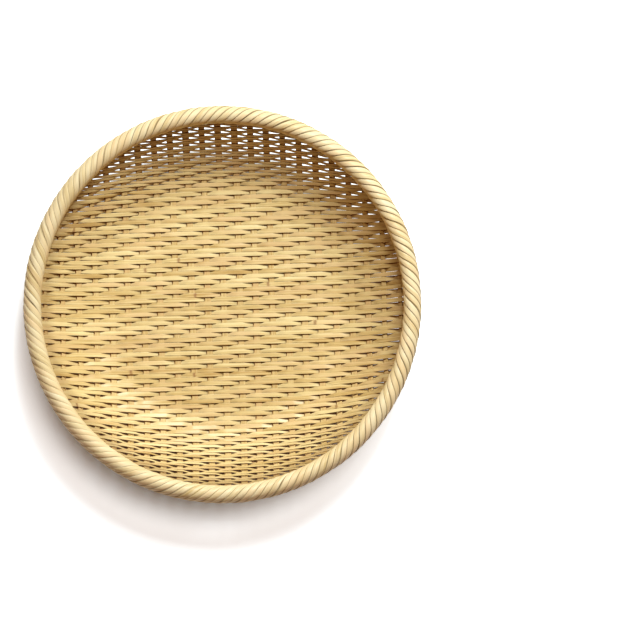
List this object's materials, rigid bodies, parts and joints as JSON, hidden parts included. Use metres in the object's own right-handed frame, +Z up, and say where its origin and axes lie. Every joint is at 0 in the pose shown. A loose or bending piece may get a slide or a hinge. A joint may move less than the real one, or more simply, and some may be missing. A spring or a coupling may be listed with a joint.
{
  "type": "zaru basket",
  "caption": "Shallow round bamboo basket with a flat base and flaring sides, woven from flat strips in twill, with a thick rim of strips wound round two hoops.",
  "frame": {"origin": "centre of the bounding box's bottom face, on the basket's axis where the flat base rests", "axes": "+Z up out of the open bowl; the wefts run along X and the ribs along Y"},
  "size_m": [0.2404, 0.2408, 0.0452],
  "materials": {
    "rib_bamboo": "split bamboo, satin, with fine lengthwise fibre",
    "weft_bamboo": "thin split bamboo strips, satin, straw to cream, each its own tone",
    "hoop_bamboo": "plain split bamboo",
    "binding_bamboo": "smooth skin-side bamboo strips, pale cream, slight sheen"
  },
  "bodies": {
    "root": {"inner_hoop": "hoop_bamboo", "outer_hoop": "hoop_bamboo", "rib_01": "rib_bamboo", "rib_02": "rib_bamboo", "rib_03": "rib_bamboo", "rib_04": "rib_bamboo", "rib_05": "rib_bamboo", "rib_06": "rib_bamboo", "rib_07": "rib_bamboo", "rib_08": "rib_bamboo", "rib_09": "rib_bamboo", "rib_10": "rib_bamboo", "rib_11": "rib_bamboo", "rib_12": "rib_bamboo", "rib_13": "rib_bamboo", "rib_14": "rib_bamboo", "rib_15": "rib_bamboo", "rib_16": "rib_bamboo", "rib_17": "rib_bamboo", "rib_18": "rib_bamboo", "rib_19": "rib_bamboo", "rib_20": "rib_bamboo", "rib_21": "rib_bamboo", "rim_binding_1": "binding_bamboo", "rim_binding_2": "binding_bamboo", "rim_binding_3": "binding_bamboo", "weft_01": "weft_bamboo", "weft_02": "weft_bamboo", "weft_03": "weft_bamboo", "weft_04": "weft_bamboo", "weft_05": "weft_bamboo", "weft_06": "weft_bamboo", "weft_07": "weft_bamboo", "weft_08": "weft_bamboo", "weft_09": "weft_bamboo", "weft_10": "weft_bamboo", "weft_11": "weft_bamboo", "weft_12": "weft_bamboo", "weft_13": "weft_bamboo", "weft_14": "weft_bamboo", "weft_15": "weft_bamboo", "weft_16": "weft_bamboo", "weft_17": "weft_bamboo", "weft_18": "weft_bamboo", "weft_19": "weft_bamboo", "weft_20": "weft_bamboo", "weft_21": "weft_bamboo", "weft_22": "weft_bamboo", "weft_23": "weft_bamboo", "weft_24": "weft_bamboo", "weft_25": "weft_bamboo", "weft_26": "weft_bamboo", "weft_27": "weft_bamboo", "weft_28": "weft_bamboo", "weft_29": "weft_bamboo", "weft_30": "weft_bamboo", "weft_31": "weft_bamboo", "weft_32": "weft_bamboo", "weft_33": "weft_bamboo"}
  },
  "joints": []
}
